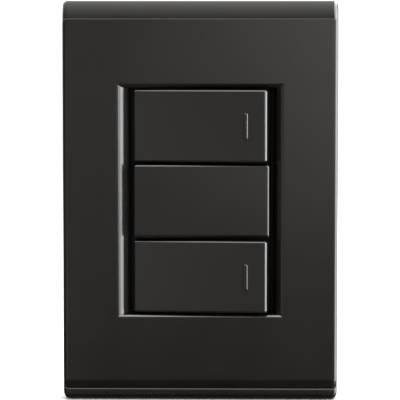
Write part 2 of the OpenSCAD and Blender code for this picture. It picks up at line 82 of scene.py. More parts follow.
def arcFrom(bm, vert, centre, angle, steps, axis=(1, 0, 0)):
    made = bmesh.ops.spin(bm, geom=[vert], cent=centre, axis=axis,
                          angle=radians(angle), steps=steps, use_duplicate=False)
    return made["geom_last"][0]


def vertsIn(geom):
    return [part for part in geom if isinstance(part, bmesh.types.BMVert)]


def extrudeEdges(bm, edges):
    made = bmesh.ops.extrude_edge_only(bm, edges=edges)["geom"]
    verts = vertsIn(made)
    ring = [part for part in made if isinstance(part, bmesh.types.BMEdge)
            and part.verts[0] in verts and part.verts[1] in verts]
    return verts, ring


def cutAt(bm, point, normal):
    bmesh.ops.bisect_plane(bm, geom=bm.verts[:] + bm.edges[:] + bm.faces[:],
                           plane_co=point, plane_no=normal, dist=1e-5)


def bevelEdges(bm, edges, offset, segments):
    bmesh.ops.bevel(bm, geom=edges, offset=offset, offset_type="OFFSET", segments=segments,
                    profile=0.5, affect="EDGES", material=-1, clamp_overlap=True)


def addBlock(bm, low, high):
    made = bmesh.ops.create_cube(bm, size=1)["verts"]
    low, high = Vector(low), Vector(high)
    bmesh.ops.scale(bm, vec=high - low, verts=made)
    bmesh.ops.translate(bm, vec=(low + high) / 2, verts=made)
    return made


def addLathe(bm, outline, steps=48):
    # outline: (radius, place along Y), from axis to axis
    others = set(bm.verts)
    verts = [bm.verts.new((radius, along, 0)) for radius, along in outline]
    edges = [bm.edges.new(pair) for pair in zip(verts, verts[1:])]
    bmesh.ops.spin(bm, geom=verts + edges, cent=(0, 0, 0), axis=(0, 1, 0), angle=2 * pi,
                   steps=steps, use_merge=True, use_duplicate=False)
    made = [vert for vert in bm.verts if vert not in others]
    bmesh.ops.remove_doubles(bm, verts=made, dist=near)


def edgesOf(verts):
    return list(dict.fromkeys(edge for vert in verts for edge in vert.link_edges))


def facesOf(verts):
    return list(dict.fromkeys(face for vert in verts for face in vert.link_faces))


def faceToward(verts, direction):
    return max(facesOf(verts), key=lambda face: face.calc_center_median().dot(Vector(direction)))


# which way a face looks, by its normal; a piece changes its finish by these, and faces turned up or right, toward
# the lights, get painted highlights
faceLimits = {"turned": 0.3, "front": -0.2, "away": -0.15, "square": 0.9}


def facesUp(normal, middle):
    return normal.z > faceLimits["turned"] and normal.y < faceLimits["front"]


def facesRight(normal, middle):
    return normal.x > faceLimits["turned"] and normal.y < faceLimits["front"]


def facesAway(normal, middle):
    return normal.y > faceLimits["away"]


def finishPiece(name, bm, body, nodes, material, sharp=32, coats=()):
    # coats: other finishes, each with its test; the first that fits is taken
    bmesh.ops.remove_doubles(bm, verts=bm.verts, dist=near)
    bmesh.ops.recalc_face_normals(bm, faces=bm.faces)
    for face in bm.faces:
        face.normal_update()
        middle = face.calc_center_median()
        fits = [index for index, (_, test) in enumerate(coats, 1) if test(face.normal, middle)]
        face.material_index = fits[0] if fits else 0
    bmesh.ops.scale(bm, vec=(mm, mm, mm), verts=bm.verts)
    for edge in bm.edges:
        edge.smooth = not edge.seam and edge.calc_face_angle(pi) < radians(sharp)
    for face in bm.faces:
        face.smooth = True
    mesh = bpy.data.meshes.new(name)
    bm.to_mesh(mesh)
    bm.free()
    for finish in (material, *[coat for coat, _ in coats]):
        mesh.materials.append(finish)
    piece = bpy.data.objects.new(name, mesh)
    bpy.context.scene.collection.objects.link(piece)
    even = piece.modifiers.new("evenNormals", "WEIGHTED_NORMAL")
    even.keep_sharp = True
    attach(piece, body)
    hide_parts(*nodes)
    print("piece", name, len(mesh.polygons), "faces")
    return piece


# finishes
def startFinish(name):
    material = bpy.data.materials.new(name)
    material.use_nodes = True
    nodes, links = material.node_tree.nodes, material.node_tree.links
    shader = nodes["Principled BSDF"]
    place = nodes.new("ShaderNodeTexCoord")
    return material, nodes, links, shader, place.outputs["Object"]


def addNoise(nodes, links, place, scale, detail, stretch=(1, 1, 1)):
    mapping = nodes.new("ShaderNodeMapping")
    mapping.inputs["Scale"].default_value = stretch
    links.new(place, mapping.inputs["Vector"])
    noise = nodes.new("ShaderNodeTexNoise")
    noise.inputs["Scale"].default_value = scale
    noise.inputs["Detail"].default_value = detail
    links.new(mapping.outputs["Vector"], noise.inputs["Vector"])
    return noise.outputs["Fac"]


def addRamp(nodes, links, value, stops):
    ramp = nodes.new("ShaderNodeValToRGB")
    for element, (position, colour) in zip(ramp.color_ramp.elements, stops):
        element.position = position
        element.color = (*colour, 1)
    links.new(value, ramp.inputs["Fac"])
    return ramp.outputs["Color"]


def addRange(nodes, links, value, low, high):
    spread = nodes.new("ShaderNodeMapRange")
    spread.inputs["To Min"].default_value = low
    spread.inputs["To Max"].default_value = high
    links.new(value, spread.inputs["Value"])
    return spread.outputs["Result"]


def addBump(nodes, links, shader, height, strength, distance):
    bump = nodes.new("ShaderNodeBump")
    bump.inputs["Strength"].default_value = strength
    bump.inputs["Distance"].default_value = distance * mm
    links.new(height, bump.inputs["Height"])
    links.new(bump.outputs["Normal"], shader.inputs["Normal"])


def mouldedPlastic(name, tint, gloss, grain, grainDepth, shine=0.5, ior=1.5):
    material, nodes, links, shader, place = startFinish(name)
    dark, light = tint
    shader.inputs["Specular IOR Level"].default_value = shine
    shader.inputs["IOR"].default_value = ior
    cloud = addNoise(nodes, links, place, scale=45, detail=3)
    links.new(addRamp(nodes, links, cloud, [(0.3, dark), (0.7, light)]), shader.inputs["Base Color"])
    sheen = addNoise(nodes, links, place, scale=90, detail=4)
    links.new(addRange(nodes, links, sheen, *gloss), shader.inputs["Roughness"])
    spark = addNoise(nodes, links, place, scale=grain, detail=2)
    addBump(nodes, links, shader, spark, strength=0.25, distance=grainDepth)
    return material


def drawnMetal(name, tint, gloss, lineDepth, stretch=(1, 1, 1)):
    material, nodes, links, shader, place = startFinish(name)
    dark, light = tint
    shader.inputs["Metallic"].default_value = 1
    tarnish = addNoise(nodes, links, place, scale=160, detail=5)
    links.new(addRamp(nodes, links, tarnish, [(0.3, dark), (0.65, light)]), shader.inputs["Base Color"])
    drawn = addNoise(nodes, links, place, scale=900, detail=3, stretch=stretch)
    links.new(addRange(nodes, links, drawn, *gloss), shader.inputs["Roughness"])
    addBump(nodes, links, shader, drawn, strength=0.3, distance=lineDepth)
    return material


# each tint: its darkest and its lightest colour
plateTint = (0.0086, 0.0072, 0.005), (0.0106, 0.0092, 0.007)
keyTint = (0.0102, 0.0088, 0.0066), (0.0122, 0.0108, 0.0086)
paintedLightWallTint = (0.044, 0.042, 0.039), (0.056, 0.054, 0.051)
frameTint = (0.005, 0.005, 0.005), (0.009, 0.009, 0.009)
bodyTint = (0.008, 0.008, 0.0085), (0.013, 0.013, 0.014)
baseTint = (0.066, 0.069, 0.071), (0.092, 0.095, 0.098)
pinTint = (0.68, 0.67, 0.63), (0.76, 0.75, 0.71)
brassTint = (0.50, 0.33, 0.12), (0.66, 0.47, 0.19)
copperTint = (0.58, 0.31, 0.16), (0.74, 0.44, 0.25)
silverTint = (0.74, 0.73, 0.69), (0.84, 0.83, 0.8)
zincTint = (0.46, 0.47, 0.49), (0.6, 0.61, 0.62)
springTint = (0.36, 0.37, 0.39), (0.47, 0.48, 0.5)
finishes = {
    "satin_black": mouldedPlastic("satinBlack", plateTint, (0.23, 0.29), grain=5200, grainDepth=0.003),
    "key_black": mouldedPlastic("keyBlack", keyTint, (0.23, 0.29), grain=5200, grainDepth=0.003),
    # painted highlights: lit copies of the plastic with more shine, for edges and lips that face the lights
    "painted_highlight_edge": mouldedPlastic("paintedHighlightEdge", plateTint, (0.2, 0.25), grain=5200, grainDepth=0.002,
                                  shine=1, ior=1.85),
    "painted_highlight_bead": mouldedPlastic("paintedHighlightBead", plateTint, (0.2, 0.25), grain=5200, grainDepth=0.002,
                                shine=1, ior=1.65),
    "painted_highlight_crease": mouldedPlastic("paintedHighlightCrease", plateTint, (0.22, 0.28), grain=5200, grainDepth=0.002,
                                  shine=0.8),
    "painted_highlight_side": mouldedPlastic("paintedHighlightSide", plateTint, (0.23, 0.29), grain=5200, grainDepth=0.002,
                                    shine=1, ior=2.2),
    "painted_highlight_end": mouldedPlastic("paintedHighlightEnd", keyTint, (0.21, 0.27), grain=5200, grainDepth=0.002,
                                   shine=1, ior=2.6),
    # painted light: the left lip wall, facing the lights, gets a lighter tint for the light it reflects
    "lip_wall": mouldedPlastic("lipWall", paintedLightWallTint, (0.3, 0.4), grain=5200, grainDepth=0.003),
    # plastics behind the front
    "frame_black": mouldedPlastic("frameBlack", frameTint, (0.72, 0.86), grain=2600, grainDepth=0.012,
                                  shine=0.15),
    "body_grey": mouldedPlastic("bodyGrey", bodyTint, (0.74, 0.86), grain=2200, grainDepth=0.01,
                                shine=0.15),
    "base_grey": mouldedPlastic("baseGrey", baseTint, (0.48, 0.62), grain=1900, grainDepth=0.012),
    "pin_white": mouldedPlastic("pinWhite", pinTint, (0.36, 0.48), grain=3000, grainDepth=0.004),
    # metals
    "brass": drawnMetal("stampedBrass", brassTint, (0.24, 0.42), lineDepth=0.003, stretch=(1, 0.06, 1)),
    "blade_copper": drawnMetal("rolledCopper", copperTint, (0.22, 0.4), lineDepth=0.002,
                               stretch=(0.06, 1, 1)),
    "silver": drawnMetal("contactSilver", silverTint, (0.2, 0.34), lineDepth=0.001),
    "zinc": drawnMetal("zincPlate", zincTint, (0.26, 0.42), lineDepth=0.002),
    "spring_steel": drawnMetal("springSteel", springTint, (0.22, 0.36), lineDepth=0.001),
}
print("finishes made:", len(finishes))


# cover plate
plateLow, plateHigh = (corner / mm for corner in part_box("cover_plate"))
coverPlate = {
    "halfW": plateHigh.x, "halfH": plateHigh.z, "depth": -plateLow.y,
    "topBand": 5.15, "bandStart": 12, "bandEnd": 58, "panelStep": 0.5, "panelEdge": 0.4, "creaseReach": 0.25,
    "bottomBand": 3.3, "footHeight": 2.8, "footDrop": 0.8,
    "beadBack": 0.45, "beadUpper": 0.6, "beadTurn": 80, "beadLower": 1.5,
    "sideRun": 1.5, "sideDrop": 1.3, "sideSteps": 7, "topCorner": 1.2, "footCorner": 1.9,
    "openX": 25, "windowTop": 33.75, "windowFoot": 34,
    # rolls of the lip: radius, and slope at the end of it
    "lipSide": ((2.2, 32), (7, 42)), "leanSide": 20,
    "lipTop": ((1.45, 87),), "lipFoot": ((1, 87),), "leanEnd": 3, "lipSteps": 8,
    "lipDepth": 5.2, "lipBack": 0.7, "lipWall": 1.8,
    "wall": 2, "edgeSkin": 4.6, "edgeIn": 5.5,
    "pegX": 28.5, "pegZ": (-40, 0, 40), "pegT": 1.6, "pegW": 6, "pegStep": 2.2, "pegEnd": 0.4,
    "pegTip": 0.5, "pegEdge": 0.12, "pegBite": 0.2,
}


def lipInset(depth, rolls, lean):
    # how far the window's edge has come in at a depth below the panel: rolls, then a leaning wall
    turned = inset = top = 0
    for radius, sweep in rolls:
        foot = top + radius * (cos(radians(turned)) - cos(radians(sweep)))
        if depth <= foot:
            return inset + radius * (sin(acos(cos(radians(turned)) - (depth - top) / radius))
                                     - sin(radians(turned)))
        inset += radius * (sin(radians(sweep)) - sin(radians(turned)))
        turned, top = sweep, foot
    return inset + (depth - top) * tan(radians(lean))


def lipDepths(rolls, steps):
    depths, turned, top = [], 0, 0
    for radius, sweep in rolls:
        for step in range(1, steps + 1):
            angle = radians(turned + (sweep - turned) * step / steps)
            depths.append(top + radius * (cos(radians(turned)) - cos(angle)))
        turned, top = sweep, depths[-1]
    return depths


def plateProfile(bm, size, x):
    # from the rear of the top edge, over the front, to the rear of the bottom edge
    top, front = size["halfH"], -size["depth"]
    panelTop, panelBottom = top - size["topBand"], -top + size["bottomBand"]
    bandStart, bandEnd = radians(size["bandStart"]), radians(size["bandEnd"])
    bandRadius = size["topBand"] / (sin(bandEnd) - sin(bandStart))
    bandCentre = (x, front + size["panelStep"] + bandRadius * cos(bandStart),
                  panelTop - bandRadius * sin(bandStart))
    edge = size["panelEdge"]
    vert = bm.verts.new((x, 0, top))
    vert = lineTo(bm, vert, (x, bandCentre[1] - bandRadius * cos(bandEnd), top))
    vert = arcFrom(bm, vert, bandCentre, size["bandEnd"] - size["bandStart"], steps=16)
    vert = lineTo(bm, vert, (x, front + edge, panelTop))
    vert = arcFrom(bm, vert, (x, front + edge, panelTop - edge), 90, steps=6)
    flatBottom = panelBottom + size["footHeight"]
    footRadius = (size["footHeight"] ** 2 + size["footDrop"] ** 2) / (2 * size["footDrop"])
    vert = lineTo(bm, vert, (x, front, flatBottom))
    vert = arcFrom(bm, vert, (x, front + footRadius, flatBottom),
                   degrees(asin(size["footHeight"] / footRadius)), steps=12)
    upper, lower, beadY = size["beadUpper"], size["beadLower"], front + size["beadBack"]
    start = radians(size["beadTurn"])
    vert = lineTo(bm, vert, (x, beadY + upper - upper * cos(start),
                             panelBottom - upper + upper * sin(start)))
    vert = arcFrom(bm, vert, (x, beadY + upper, panelBottom - upper), size["beadTurn"], steps=7)
    vert = lineTo(bm, vert, (x, beadY, -top + lower))
    vert = arcFrom(bm, vert, (x, beadY + lower, -top + lower), 90, steps=8)
    lineTo(bm, vert, (x, 0, -top))


def openingEnds(size):
    # where the window's lip starts to roll in, above and below
    return size["windowTop"] + size["lipTop"][0][0], -size["windowFoot"] - size["lipFoot"][0][0]


def openWindow(bm, size):
    for x in (-size["openX"], size["openX"]):
        cutAt(bm, (x, 0, 0), (1, 0, 0))
    for z in openingEnds(size):
        cutAt(bm, (0, 0, z), (0, 0, 1))
    middle = min(bm.faces, key=lambda face: face.calc_center_median().xz.length)
    edges = list(middle.edges)
    bmesh.ops.delete(bm, geom=[middle], context="FACES_ONLY")
    return edges


def rollSide(bm, size, side):
    # roll one side back, ring by ring
    flatX = size["halfW"] - size["sideRun"]
    ring = [edge for edge in bm.edges if all(abs(v.co.x - side * flatX) < near for v in edge.verts)]
    before = {"y": size["depth"], "top": size["halfH"], "foot": size["halfH"], "x": flatX}
    for step in range(1, size["sideSteps"] + 1):
        turn = pi / 2 * step / size["sideSteps"]
        fall = 1 - cos(turn)
        after = {"y": size["depth"] - size["sideDrop"] * fall,
                 "top": size["halfH"] - size["topCorner"] * fall,
                 "foot": size["halfH"] - size["footCorner"] * fall,
                 "x": flatX + size["sideRun"] * sin(turn)}
        verts, ring = extrudeEdges(bm, ring)
        upper = [vert for vert in verts if vert.co.z > 0]
        lower = [vert for vert in verts if vert.co.z <= 0]
        scaleY = after["y"] / before["y"]
        bmesh.ops.scale(bm, vec=(1, scaleY, after["top"] / before["top"]), verts=upper)
        bmesh.ops.scale(bm, vec=(1, scaleY, after["foot"] / before["foot"]), verts=lower)
        bmesh.ops.translate(bm, vec=(side * (after["x"] - before["x"]), 0, 0), verts=verts)
        before = after
    bmesh.ops.contextual_create(bm, geom=ring)


def rollLip(bm, size, edges):
    # roll the window's lip in; the mitres are seams, which finishPiece keeps sharp
    openTop, openFoot = openingEnds(size)
    depths = [size["depth"] - size["lipDepth"]]
    for lip in ("lipSide", "lipTop", "lipFoot"):
        depths += lipDepths(size[lip], size["lipSteps"])
    for depth in sorted(depths):
        verts, edges = extrudeEdges(bm, edges)
        x = size["openX"] - lipInset(depth, size["lipSide"], size["leanSide"])
        zTop = openTop - lipInset(depth, size["lipTop"], size["leanEnd"])
        zFoot = openFoot + lipInset(depth, size["lipFoot"], size["leanEnd"])
        for vert in verts:
            vert.co = (x if vert.co.x > 0 else -x, depth - size["depth"], zTop if vert.co.z > 0 else zFoot)
            for edge in vert.link_edges:
                edge.seam = edge not in edges
    return edges


def closeBack(bm, size, lipEdges):
    # rear edge and back of the window's wall
    backX = size["openX"] - size["lipBack"]
    backTop, backFoot = size["windowTop"] + size["lipWall"], -size["windowFoot"] - size["lipWall"]
    skinY = size["wall"] - size["depth"]
    for y in (-size["lipDepth"], skinY):
        verts, lipEdges = extrudeEdges(bm, lipEdges)
        for vert in verts:
            vert.co = (backX if vert.co.x > 0 else -backX, y, backTop if vert.co.z > 0 else backFoot)
    # rear rim, skirt and hollow
    rim = [edge for edge in bm.edges if edge.is_boundary and all(abs(v.co.y) < near for v in edge.verts)]
    innerX, innerZ = size["halfW"] - size["wall"], size["halfH"] - size["wall"]
    deepZ = size["halfH"] - size["edgeIn"]
    stages = [(innerX / size["halfW"], 0, innerZ / size["halfH"]), (1, -size["edgeSkin"], 1),
              (1, -size["edgeSkin"], deepZ / innerZ), (1, skinY, 1)]
    for scaleX, y, scaleZ in stages:
        verts, rim = extrudeEdges(bm, rim)
        bmesh.ops.scale(bm, vec=(scaleX, 1, scaleZ), verts=verts)
        for vert in verts:
            vert.co.y = y
    bmesh.ops.triangle_fill(bm, edges=rim + lipEdges, use_beauty=True, normal=(0, 1, 0))


def addPegs(bm, size):
    # pegs that push into the frame
    half = Vector((size["pegT"] / 2, 0, size["pegW"] / 2))
    root = size["wall"] - size["depth"] - size["pegBite"]
    for side in (-1, 1):
        for z in size["pegZ"]:
            middle = Vector((side * size["pegX"], 0, z))
            peg = addBlock(bm, middle - half + Vector((0, root, 0)),
                           middle + half - Vector((0, size["pegStep"], 0)))
            tip = bmesh.ops.extrude_discrete_faces(bm, faces=[faceToward(peg, (0, 1, 0))])["faces"][0]
            for vert in tip.verts:
                vert.co.y = -size["pegEnd"]
                vert.co.x = middle.x + (vert.co.x - middle.x) * size["pegTip"] / size["pegT"]
            bevelEdges(bm, list(tip.edges), size["pegEdge"], segments=2)


def makeCoverPlate(size):
    bm = bmesh.new()
    flatX = size["halfW"] - size["sideRun"]
    plateProfile(bm, size, -flatX)
    verts, _ = extrudeEdges(bm, bm.edges[:])
    bmesh.ops.translate(bm, vec=(2 * flatX, 0, 0), verts=verts)
    lipEdges = openWindow(bm, size)
    for side in (-1, 1):
        rollSide(bm, size, side)
    lipEdges = rollLip(bm, size, lipEdges)
    closeBack(bm, size, lipEdges)
    addPegs(bm, size)
    return bm


# faces of the plate that get painted highlights, by which way they face the lights
def onBead(normal, middle):
    # the bead's ends stand higher, by the foot's corner
    beadTop = coverPlate["bottomBand"] + coverPlate["footCorner"] - coverPlate["halfH"]
    return facesUp(normal, middle) and middle.z < beadTop


def onLowerLip(normal, middle):
    return facesUp(normal, middle) and middle.z < 0


def onCrease(normal, middle):
    creaseZ = coverPlate["halfH"] - coverPlate["topBand"] - coverPlate["panelEdge"] / 2
    return facesUp(normal, middle) and abs(middle.z - creaseZ) < coverPlate["creaseReach"]


# the left lip wall, facing the lights, which gets a painted-light tint
def onLeftWall(normal, middle):
    return facesRight(normal, middle) and normal.x > faceLimits["square"] and middle.x < 0


def onSkirt(normal, middle):
    return facesAway(normal, middle) and normal.z < faceLimits["square"]


# bead, lower lip, crease and right-facing faces get painted highlights: shinier copies of the plate's plastic
coverCoats = [
    (finishes["painted_highlight_bead"], onBead),
    (finishes["painted_highlight_side"], onLowerLip),
    (finishes["painted_highlight_crease"], onCrease),
    (finishes["lip_wall"], onLeftWall),
    (finishes["painted_highlight_side"], facesRight),
    (finishes["frame_black"], onSkirt),
]
finishPiece("coverPlate", makeCoverPlate(coverPlate), "cover", ["cover_plate"],
            finishes["satin_black"], sharp=22, coats=coverCoats)


# rocker keys
rockerKey = {
    "width": 39.9, "height": 21.5, "shift": 0.5, "front": 10.6, "rear": 5.6,
    "edge": 0.7, "endEdge": 1.1, "footEdge": 0.6, "wall": 1.4, "skin": 1.6,
    "markX": 13.5, "markW": 1.4, "markH": 7.8, "markOut": 0.45, "markEdge": 0.42,
    "tubeR": 3, "boreR": 2.05, "tubeEnd": 4.7, "tubeEdge": 0.2, "tubeFloor": 8.8,
    "webR": 2.6, "webIn": 6.6, "webOut": 7.55, "pinR": 1.4, "pinOut": 8.85, "pinEdge": 0.15, "bite": 0.2,
}


def keyAtRest(switch):
    # a key's hinge and its turn at rest: half of the travel, right end out
    rock = joints[switch + "_key_rock"]
    return Vector(rock["pos_m"]) / mm, -radians(rock["range_deg"][1]) / 2


def turnToRest(bm, hinge, tilt):
    bmesh.ops.rotate(bm, cent=(0, hinge.y, 0), matrix=Matrix.Rotation(tilt, 3, "Z"), verts=bm.verts)
    bmesh.ops.translate(bm, vec=(0, 0, hinge.z), verts=bm.verts)


def hollowBlock(bm, low, high, hole, size):
    # open-backed shell with rolled front edges and corners, rounder at its right end and foot
    verts = addBlock(bm, low, high)
    back = faceToward(verts, (0, 1, 0))
    bmesh.ops.inset_individual(bm, faces=[back], thickness=0.5, use_even_offset=True)
    middle = (low + high) / 2
    for vert in back.verts:
        vert.co.x = hole[1] if vert.co.x > middle.x else hole[0]
        vert.co.z = hole[3] if vert.co.z > middle.z else hole[2]
    floor = bmesh.ops.extrude_discrete_faces(bm, faces=[back])["faces"][0]
    for vert in floor.verts:
        vert.co.y = low.y + size["skin"]
    end = [e for e in bm.edges if all(v.co.x > high.x - near and v.co.y < low.y + near for v in e.verts)]
    bevelEdges(bm, end, size["endEdge"], segments=8)
    rest = [e for e in bm.edges if e.calc_face_angle(0) > corner
            and min(v.co.y for v in e.verts) < high.y - near
            and (all(abs(abs(v.co.z) - high.z) < near for v in e.verts)
                 or all(v.co.y < low.y + near for v in e.verts))]
    bevelEdges(bm, rest, size["edge"], segments=5)
    # roll the foot back on its own radius
    reach, cuts = size["footEdge"], 8
    for step in range(1, cuts):
        cutAt(bm, (0, 0, low.z + reach * (1 - sin(pi / 2 * step / cuts))), (0, 0, 1))
    for vert in bm.verts:
        under = min(low.z + reach - vert.co.z, reach)
        if under > 0:
            vert.co.y = max(vert.co.y, low.y + reach - sqrt(reach ** 2 - under ** 2))


def addMark(bm, size):
    # raised bar
    half = Vector((size["markW"] / 2, 0, size["markH"] / 2))
    place = Vector((size["markX"] + size["shift"], -size["front"], 0))
    bar = addBlock(bm, place - half - Vector((0, size["markOut"], 0)),
                   place + half + Vector((0, size["bite"], 0)))
    proud = [e for e in edgesOf(bar) if min(v.co.y for v in e.verts) < place.y - size["markOut"] + near]
    bevelEdges(bm, proud, size["markEdge"], segments=4)


def addPivot(bm, size, root, hinge, side):
    # web behind the key's skin, with a pin on its outer face
    inner = side * size["webIn"]
    first = bm.verts.new((-size["webR"], root, inner))
    vert = lineTo(bm, first, (-size["webR"], hinge.y, inner))
    vert = arcFrom(bm, vert, (0, hinge.y, inner), -180, steps=24, axis=(0, 0, 1))
    vert = lineTo(bm, vert, (size["webR"], root, inner))
    bm.edges.new((vert, first))
    outline = [v for v in bm.verts if abs(v.co.z - inner) < near
               and abs(v.co.x) <= size["webR"] + near and v.is_wire]
    web = bmesh.ops.contextual_create(bm, geom=edgesOf(outline))["faces"]
    grown = bmesh.ops.extrude_face_region(bm, geom=web)["geom"]
    bmesh.ops.translate(bm, vec=(0, 0, side * (size["webOut"] - size["webIn"])), verts=vertsIn(grown))
    depth = size["pinOut"] - size["webOut"] + size["bite"]
    turned = Matrix.Translation((0, hinge.y, side * (size["pinOut"] - depth / 2)))
    pin = bmesh.ops.create_cone(bm, cap_ends=True, segments=40, radius1=size["pinR"],
                                radius2=size["pinR"], depth=depth, matrix=turned)["verts"]
    rim = [e for e in edgesOf(pin) if all(abs(v.co.z) > size["pinOut"] - near for v in e.verts)]
    bevelEdges(bm, rim, size["pinEdge"], segments=2)


def makeKey(size, hinge, tilt):
    bm = bmesh.new()
    low = Vector((size["shift"] - size["width"] / 2, -size["front"], -size["height"] / 2))
    high = Vector((size["shift"] + size["width"] / 2, -size["rear"], size["height"] / 2))
    wall = size["wall"]
    hollowBlock(bm, low, high, (low.x + wall, high.x - wall, low.z + wall, high.z - wall), size)
    addMark(bm, size)
    # tube for the plunger
    root = size["skin"] - size["front"] - size["bite"]
    addLathe(bm, [(0, root), (size["tubeR"], root), (size["tubeR"], size["tubeEnd"] - size["tubeEdge"]),
                  (size["tubeR"] - size["tubeEdge"], size["tubeEnd"]), (size["boreR"], size["tubeEnd"]),
                  (size["boreR"], -size["tubeFloor"]), (0, -size["tubeFloor"])])
    for side in (-1, 1):
        addPivot(bm, size, root, hinge, side)
    turnToRest(bm, hinge, tilt)
    return bm


# key faces turned up or to the right get painted highlights: shinier copies of the key plastic
keyCoats = [
    (finishes["painted_highlight_edge"], facesUp),
    (finishes["painted_highlight_end"], facesRight),
    (finishes["frame_black"], facesAway),
]
for switch in switches:
    finishPiece(switch + "Key", makeKey(rockerKey, *keyAtRest(switch)), switch + "_rocker",
                [switch + "_key"], finishes["key_black"], coats=keyCoats)


# blank module
blankModule = {
    "width": 40.4, "height": 21.8, "shift": 0.5, "front": 10.2,
    "edge": 0.7, "endEdge": 1, "footEdge": 1.25, "skin": 1.6,
    "flangeW": 41.6, "flangeH": 22.56, "flangeFront": 3.6, "flangeRear": 2.2, "flangeEdge": 0.03,
    "bodyW": 38.4, "bodyH": 21.4, "bodyRear": 4, "bodyEdge": 0.2, "wall": 1.3, "bite": 0.2,
    "clipW": 8, "clipOut": 1.2, "clipFront": -0.9, "clipLen": 2.6, "clipTip": 0.02,
}


def addSleeve(bm, width, height, holeW, holeH, front, rear, edge):
    # rectangular ring along Y
    verts = addBlock(bm, (-width / 2, front, -height / 2), (width / 2, rear, height / 2))
    for direction in ((0, -1, 0), (0, 1, 0)):
        face = faceToward(verts, direction)
        bmesh.ops.inset_individual(bm, faces=[face], thickness=0.5, use_even_offset=True)
        for vert in face.verts:
            vert.co.x = holeW / 2 if vert.co.x > 0 else -holeW / 2
            vert.co.z = holeH / 2 if vert.co.z > 0 else -holeH / 2
        verts = verts + list(face.verts)
    holes = [face for face in facesOf(verts)
             if all(abs(abs(v.co.x) - holeW / 2) < near and abs(abs(v.co.z) - holeH / 2) < near
                    for v in face.verts) and abs(face.normal.y) > faceLimits["square"]]
    loops = [edge for face in holes for edge in face.edges]
    bmesh.ops.delete(bm, geom=holes, context="FACES_ONLY")
    bmesh.ops.bridge_loops(bm, edges=loops)
    outer = [e for e in edgesOf(verts) if abs(e.calc_face_angle(0)) > corner
             and all(abs(abs(v.co.x) - width / 2) < near or abs(abs(v.co.z) - height / 2) < near
                     for v in e.verts)]
    bevelEdges(bm, outer, edge, segments=2)


def makeBlank(size):
    bm = bmesh.new()
    holeW, holeH = size["bodyW"] - 2 * size["wall"], size["bodyH"] - 2 * size["wall"]
    bite = size["bite"]
    low = Vector((size["shift"] - size["width"] / 2, -size["front"], -size["height"] / 2))
    high = Vector((size["shift"] + size["width"] / 2, bite - size["flangeFront"], size["height"] / 2))
    hollowBlock(bm, low, high, (-holeW / 2, holeW / 2, -holeH / 2, holeH / 2), size)
    addSleeve(bm, size["flangeW"], size["flangeH"], holeW, holeH,
              -size["flangeFront"], -size["flangeRear"], size["flangeEdge"])
    addSleeve(bm, size["bodyW"], size["bodyH"], holeW, holeH,
              -size["flangeRear"] - bite, size["bodyRear"], size["bodyEdge"])
    # a wedge on each side snaps into the frame
    for side in (-1, 1):
        clip = addBlock(bm, (-size["clipOut"], size["clipFront"], -size["clipW"] / 2),
                        (bite, size["clipFront"] + size["clipLen"], size["clipW"] / 2))
        for vert in clip:
            if vert.co.x < 0 and vert.co.y > size["clipFront"] + near:
                vert.co.x = -size["clipTip"]
            vert.co.x = side * (size["bodyW"] / 2 - vert.co.x)
    return bm


def onFlange(normal, middle):
    return middle.y > -blankModule["flangeFront"] - blankModule["bite"] / 2


# blank faces turned up or to the right get painted highlights: shinier copies of the key plastic
blankCoats = [
    (finishes["frame_black"], onFlange),
    (finishes["painted_highlight_edge"], facesUp),
    (finishes["painted_highlight_side"], facesRight),
    (finishes["frame_black"], facesAway),
]
finishPiece("blankModule", makeBlank(blankModule), "wall_support",
            ["blank_insert"], finishes["key_black"], coats=blankCoats)


# plunger springs
plungerSpring = {"coilR": 1.4, "wire": 0.45, "turns": 6, "front": 8.525, "rear": 1.275,
                 "around": 28, "sides": 10, "floor": 8.8, "give": 1.0}


def makeSpring(size, hinge, tilt):
    bm = bmesh.new()
    pitch = (size["front"] - size["rear"]) / size["turns"]
    rise = atan2(pitch, 2 * pi * size["coilR"])
    bmesh.ops.create_circle(bm, segments=size["sides"], radius=size["wire"] / 2,
                            matrix=Matrix.Translation((size["coilR"], -size["front"], 0))
                            @ Matrix.Rotation(rise, 4, "X"))
    bmesh.ops.spin(bm, geom=bm.verts[:] + bm.edges[:], cent=(0, 0, 0), axis=(0, 1, 0),
                   dvec=(0, pitch / size["around"], 0), angle=2 * pi * size["turns"],
                   steps=size["turns"] * size["around"], use_merge=False, use_duplicate=False)
    bmesh.ops.holes_fill(bm, edges=bm.edges, sides=size["sides"])
    turnToRest(bm, hinge, tilt)
    return bm


for switch in switches:
    hinge, tilt = keyAtRest(switch)
    spring = finishPiece(switch + "PlungerSpring", makeSpring(plungerSpring, hinge, tilt),
                         switch + "_rocker", [switch + "_plunger_spring"],
                         finishes["spring_steel"], sharp=60)
    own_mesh(spring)


# screws
def joinInto(bm, other, matrix):
    spare = bpy.data.meshes.new("spare")
    other.to_mesh(spare)
    other.free()
    spare.transform(matrix)
    bm.from_mesh(spare)
    bpy.data.meshes.remove(spare)


def addThread(bm, thread, steps=20):
    start, end, pitch = thread["start"], thread["end"], thread["pitch"]
    turns = int((end - start) / pitch)
    vert = bm.verts.new((thread["core"], start, 0))
    chain = [vert]
    crestStart, crestEnd = thread["crest"]  # shares of the pitch
    for radius, share in ((thread["radius"], crestStart), (thread["radius"], crestEnd), (thread["core"], 1)):
        vert = lineTo(bm, vert, (radius, start + pitch * share, 0))
        chain.append(vert)
    bmesh.ops.spin(bm, geom=chain + edgesOf(chain), cent=(0, 0, 0), axis=(0, 1, 0),
                   dvec=(0, pitch / steps, 0), angle=2 * pi * turns, steps=turns * steps,
                   use_merge=False, use_duplicate=False)
    bmesh.ops.remove_doubles(bm, verts=bm.verts, dist=near)
    # close both ends to a point on the axis
    for place, atEnd in ((start, False), (start + pitch * (turns + 1), True)):
        loop = [edge for edge in bm.edges if edge.is_boundary
                and (edge.verts[0].co.y > (start + end) / 2) == atEnd]
        verts, _ = extrudeEdges(bm, loop)
        bmesh.ops.pointmerge(bm, verts=verts, merge_co=(0, place, 0))


